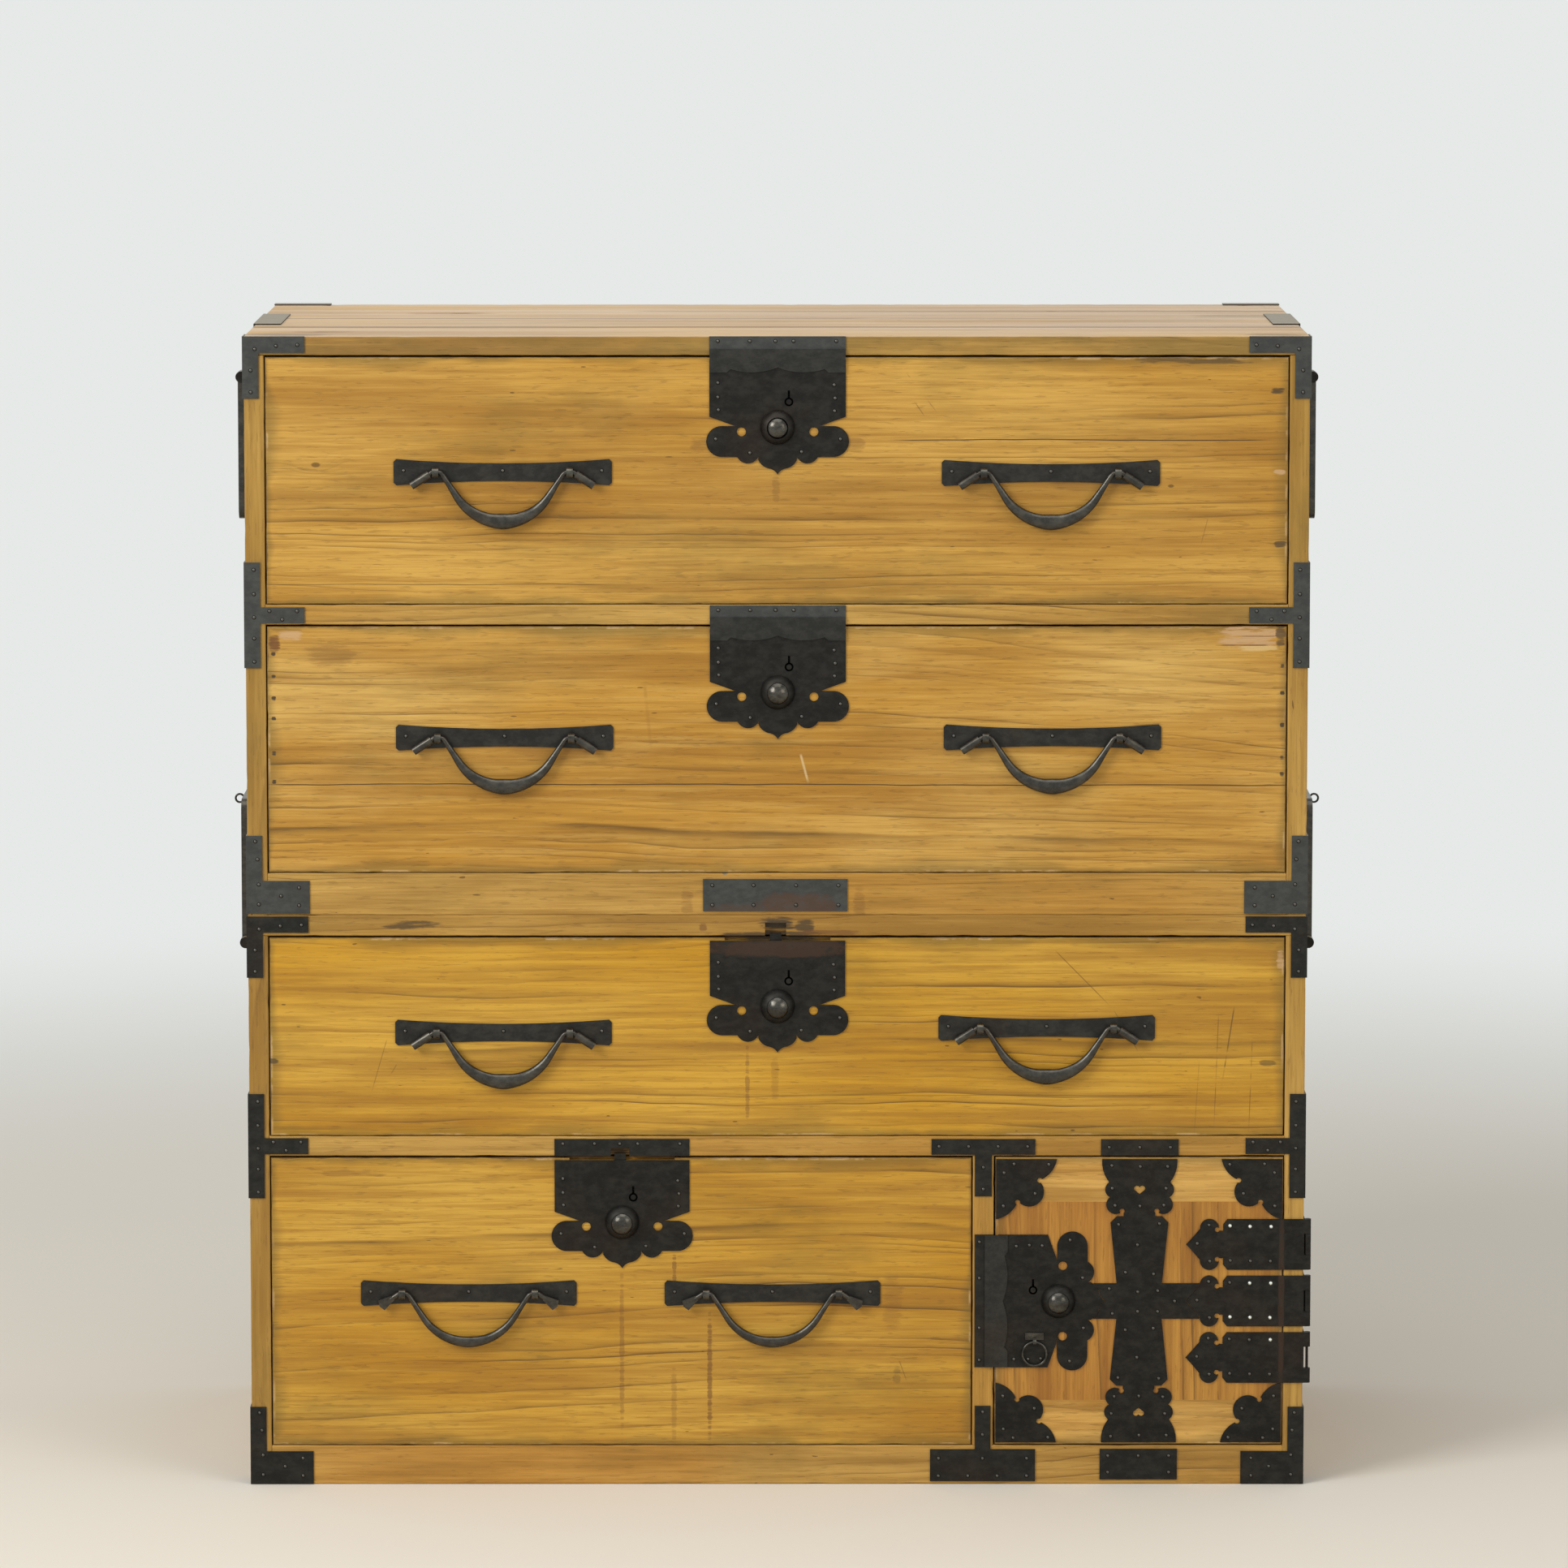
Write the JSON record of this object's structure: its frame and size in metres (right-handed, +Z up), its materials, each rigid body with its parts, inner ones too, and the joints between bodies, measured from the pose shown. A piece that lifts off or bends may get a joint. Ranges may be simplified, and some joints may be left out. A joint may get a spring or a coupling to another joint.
{
  "type": "clothing chest",
  "caption": "Two-case wooden clothing chest with wide drawers, a small hinged door and black iron fittings, for storing folded clothes.",
  "frame": {"origin": "centre of the underside of the lower case", "axes": "+Z up, -Y towards the front with the drawers, +X to the right"},
  "size_m": [1.056, 0.447, 1.0973],
  "materials": {
    "case_wood": "worn golden varnish",
    "drawer_wood": "worn golden varnish",
    "inner_wood": "bare",
    "black_iron": "old black"
  },
  "bodies": {
    "chest": {"upper_side_boards": "case_wood", "upper_top_boards": "case_wood", "upper_bottom": "case_wood", "upper_shelf": "case_wood", "upper_back_boards": "case_wood", "lower_side_boards": "case_wood", "lower_top_boards": "case_wood", "lower_bottom": "case_wood", "lower_shelf": "case_wood", "lower_divider": "case_wood", "lower_back_boards": "case_wood", "upper_case_irons": "black_iron", "lower_case_irons": "black_iron", "carrier_mounts": "black_iron", "door_hinge_leaves": "black_iron", "small_drawers": "drawer_wood", "small_drawer_pulls": "black_iron"},
    "door": {"door_boards": "drawer_wood", "door_straps": "black_iron", "door_hinge_straps": "black_iron", "door_lock": "black_iron"},
    "door_button": {"door_lock_button": "black_iron"},
    "door_bolt": {"door_lock_bolt": "black_iron"},
    "door_ring": {"door_pull_ring": "black_iron"},
    "drawer_1": {"drawer_1_face": "drawer_wood", "drawer_1_box": "inner_wood", "drawer_1_lock": "black_iron", "drawer_1_handle_plates": "black_iron"},
    "drawer_1_button": {"drawer_1_lock_button": "black_iron"},
    "drawer_1_bolt": {"drawer_1_lock_bolt": "black_iron"},
    "drawer_1_handle_left": {"drawer_1_handle_left": "black_iron"},
    "drawer_1_handle_right": {"drawer_1_handle_right": "black_iron"},
    "drawer_2": {"drawer_2_face": "drawer_wood", "drawer_2_box": "inner_wood", "drawer_2_lock": "black_iron", "drawer_2_handle_plates": "black_iron"},
    "drawer_2_button": {"drawer_2_lock_button": "black_iron"},
    "drawer_2_bolt": {"drawer_2_lock_bolt": "black_iron"},
    "drawer_2_handle_left": {"drawer_2_handle_left": "black_iron"},
    "drawer_2_handle_right": {"drawer_2_handle_right": "black_iron"},
    "drawer_3": {"drawer_3_face": "drawer_wood", "drawer_3_box": "inner_wood", "drawer_3_lock": "black_iron", "drawer_3_handle_plates": "black_iron"},
    "drawer_3_button": {"drawer_3_lock_button": "black_iron"},
    "drawer_3_bolt": {"drawer_3_lock_bolt": "black_iron"},
    "drawer_3_handle_left": {"drawer_3_handle_left": "black_iron"},
    "drawer_3_handle_right": {"drawer_3_handle_right": "black_iron"},
    "drawer_4": {"drawer_4_face": "drawer_wood", "drawer_4_box": "inner_wood", "drawer_4_lock": "black_iron", "drawer_4_handle_plates": "black_iron"},
    "drawer_4_button": {"drawer_4_lock_button": "black_iron"},
    "drawer_4_bolt": {"drawer_4_lock_bolt": "black_iron"},
    "drawer_4_handle_left": {"drawer_4_handle_left": "black_iron"},
    "drawer_4_handle_right": {"drawer_4_handle_right": "black_iron"},
    "carrier_upper_left": {"carrier_upper_left": "black_iron"},
    "carrier_upper_right": {"carrier_upper_right": "black_iron"},
    "carrier_lower_left": {"carrier_lower_left": "black_iron"},
    "carrier_lower_right": {"carrier_lower_right": "black_iron"}
  },
  "joints": [
    {"name": "door_hinge", "type": "hinge", "parent": "chest", "child": "door", "pos_m": [0.5039, -0.2136, 0.17725], "axis": [0, 0, 1], "range_deg": [0, 175]},
    {"name": "door_button_push", "type": "slide", "parent": "door", "child": "door_button", "axis": [0, 1, 0], "range_m": [0, 0.004]},
    {"name": "door_bolt_lift", "type": "slide", "parent": "door", "child": "door_bolt", "axis": [-1, 0, 0], "range_m": [0, 0.006]},
    {"name": "door_ring_swing", "type": "hinge", "parent": "door", "child": "door_ring", "pos_m": [0.2447, -0.2193, 0.13815], "axis": [1, 0, 0], "range_deg": [-95, 0]},
    {"name": "drawer_1_slide", "type": "slide", "parent": "chest", "child": "drawer_1", "axis": [0, -1, 0], "range_m": [0, 0.35]},
    {"name": "drawer_1_button_push", "type": "slide", "parent": "drawer_1", "child": "drawer_1_button", "axis": [0, 1, 0], "range_m": [0, 0.004]},
    {"name": "drawer_1_bolt_lift", "type": "slide", "parent": "drawer_1", "child": "drawer_1_bolt", "axis": [0, 0, 1], "range_m": [0, 0.006]},
    {"name": "drawer_1_handle_left_swing", "type": "hinge", "parent": "drawer_1", "child": "drawer_1_handle_left", "pos_m": [-0.2574, -0.2213, 0.9682], "axis": [1, 0, 0], "range_deg": [-85, 0]},
    {"name": "drawer_1_handle_right_swing", "type": "hinge", "parent": "drawer_1", "child": "drawer_1_handle_right", "pos_m": [0.2572, -0.2213, 0.9674], "axis": [1, 0, 0], "range_deg": [-85, 0]},
    {"name": "drawer_2_slide", "type": "slide", "parent": "chest", "child": "drawer_2", "axis": [0, -1, 0], "range_m": [0, 0.35]},
    {"name": "drawer_2_button_push", "type": "slide", "parent": "drawer_2", "child": "drawer_2_button", "axis": [0, 1, 0], "range_m": [0, 0.004]},
    {"name": "drawer_2_bolt_lift", "type": "slide", "parent": "drawer_2", "child": "drawer_2_bolt", "axis": [0, 0, 1], "range_m": [0, 0.006]},
    {"name": "drawer_2_handle_left_swing", "type": "hinge", "parent": "drawer_2", "child": "drawer_2_handle_left", "pos_m": [-0.2566, -0.2213, 0.717], "axis": [1, 0, 0], "range_deg": [-85, 0]},
    {"name": "drawer_2_handle_right_swing", "type": "hinge", "parent": "drawer_2", "child": "drawer_2_handle_right", "pos_m": [0.2596, -0.2213, 0.7172], "axis": [1, 0, 0], "range_deg": [-85, 0]},
    {"name": "drawer_3_slide", "type": "slide", "parent": "chest", "child": "drawer_3", "axis": [0, -1, 0], "range_m": [0, 0.35]},
    {"name": "drawer_3_button_push", "type": "slide", "parent": "drawer_3", "child": "drawer_3_button", "axis": [0, 1, 0], "range_m": [0, 0.004]},
    {"name": "drawer_3_bolt_lift", "type": "slide", "parent": "drawer_3", "child": "drawer_3_bolt", "axis": [0, 0, 1], "range_m": [0, 0.006]},
    {"name": "drawer_3_handle_left_swing", "type": "hinge", "parent": "drawer_3", "child": "drawer_3_handle_left", "pos_m": [-0.2588, -0.2213, 0.4356], "axis": [1, 0, 0], "range_deg": [-85, 0]},
    {"name": "drawer_3_handle_right_swing", "type": "hinge", "parent": "drawer_3", "child": "drawer_3_handle_right", "pos_m": [0.2552, -0.2213, 0.44], "axis": [1, 0, 0], "range_deg": [-85, 0]},
    {"name": "drawer_4_slide", "type": "slide", "parent": "chest", "child": "drawer_4", "axis": [0, -1, 0], "range_m": [0, 0.35]},
    {"name": "drawer_4_button_push", "type": "slide", "parent": "drawer_4", "child": "drawer_4_button", "axis": [0, 1, 0], "range_m": [0, 0.004]},
    {"name": "drawer_4_bolt_lift", "type": "slide", "parent": "drawer_4", "child": "drawer_4_bolt", "axis": [0, 0, 1], "range_m": [0, 0.006]},
    {"name": "drawer_4_handle_left_swing", "type": "hinge", "parent": "drawer_4", "child": "drawer_4_handle_left", "pos_m": [-0.2928, -0.2213, 0.185], "axis": [1, 0, 0], "range_deg": [-85, 0]},
    {"name": "drawer_4_handle_right_swing", "type": "hinge", "parent": "drawer_4", "child": "drawer_4_handle_right", "pos_m": [-0.0043, -0.2213, 0.1848], "axis": [1, 0, 0], "range_deg": [-85, 0]},
    {"name": "carrier_upper_left_swing", "type": "hinge", "parent": "chest", "child": "carrier_upper_left", "pos_m": [-0.5134, 0, 1.046], "axis": [0, 1, 0], "range_deg": [0, 175]},
    {"name": "carrier_upper_right_swing", "type": "hinge", "parent": "chest", "child": "carrier_upper_right", "pos_m": [0.5134, 0, 1.046], "axis": [0, 1, 0], "range_deg": [-175, 0]},
    {"name": "carrier_lower_left_swing", "type": "hinge", "parent": "chest", "child": "carrier_lower_left", "pos_m": [-0.5134, 0, 0.498], "axis": [0, 1, 0], "range_deg": [-175, 0]},
    {"name": "carrier_lower_right_swing", "type": "hinge", "parent": "chest", "child": "carrier_lower_right", "pos_m": [0.5134, 0, 0.498], "axis": [0, 1, 0], "range_deg": [0, 175]}
  ],
  "couplings": [
    {"joint": "door_bolt_lift", "follows": "door_button_push", "ratio": 1.5},
    {"joint": "drawer_1_bolt_lift", "follows": "drawer_1_button_push", "ratio": 1.5},
    {"joint": "drawer_2_bolt_lift", "follows": "drawer_2_button_push", "ratio": 1.5},
    {"joint": "drawer_3_bolt_lift", "follows": "drawer_3_button_push", "ratio": 1.5},
    {"joint": "drawer_4_bolt_lift", "follows": "drawer_4_button_push", "ratio": 1.5}
  ]
}
